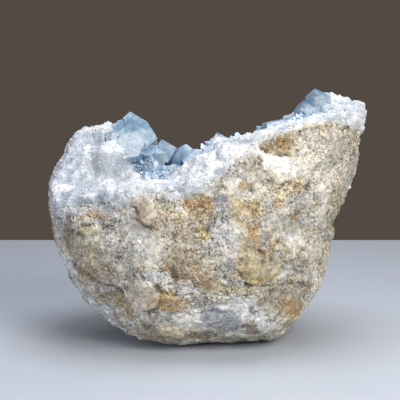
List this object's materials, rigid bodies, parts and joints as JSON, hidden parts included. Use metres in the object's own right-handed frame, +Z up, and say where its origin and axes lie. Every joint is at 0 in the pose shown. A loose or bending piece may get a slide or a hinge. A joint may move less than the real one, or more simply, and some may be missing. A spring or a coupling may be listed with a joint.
{
  "type": "celestite geode",
  "caption": "Limestone nodule broken open at the top, its bowl-shaped hollow lined with a crust of pale blue celestite crystals; rests on a small flat spot.",
  "frame": {"origin": "on the flat spot that the nodule rests on, below the middle of the nodule", "axes": "+X along the nodule to its high end, +Y from the front to the back, +Z up"},
  "size_m": [0.1496, 0.1128, 0.1203],
  "materials": {
    "limestone": null,
    "celestite": "clear to milky pale blue crystals on a white sugary layer"
  },
  "bodies": {
    "root": {"rock_shell": "limestone", "crystal_crust": "celestite"}
  },
  "joints": []
}
